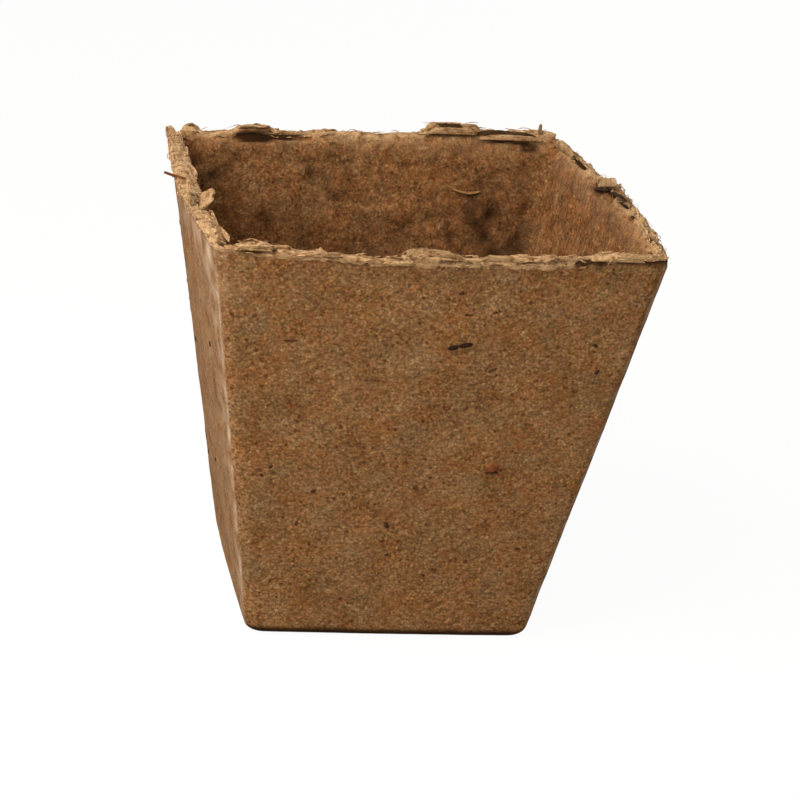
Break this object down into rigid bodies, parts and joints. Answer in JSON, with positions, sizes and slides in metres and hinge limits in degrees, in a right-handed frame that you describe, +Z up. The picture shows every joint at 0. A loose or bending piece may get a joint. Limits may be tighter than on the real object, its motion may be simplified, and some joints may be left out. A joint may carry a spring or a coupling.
{
  "type": "peat pot",
  "caption": "Square tapered plant pot pressed from peat and wood fibre, with bulging sides, rounded corners, a thick torn lip and a drain hole, and bits of bark and wood in its walls.",
  "frame": {"origin": "on the standing plane, under the middle of the pot", "axes": "+Z up through the open mouth; the front side of the picture faces -Y, and +X is to the right seen from the front"},
  "size_m": [0.0824, 0.0804, 0.0798],
  "materials": {
    "pressed_peat": "rough fibrous pressed peat",
    "red_wood": "dull reddish bark",
    "dark_wood": "dull dark bark",
    "pale_wood": "dull pale wood"
  },
  "bodies": {
    "root": {"pot_body": "pressed_peat", "rim_splinter": "red_wood", "twig_sliver": "dark_wood", "bark_chip": "red_wood", "low_sliver": "dark_wood", "inner_shaving": "pale_wood", "peat_grains": "dark_wood"}
  },
  "joints": []
}
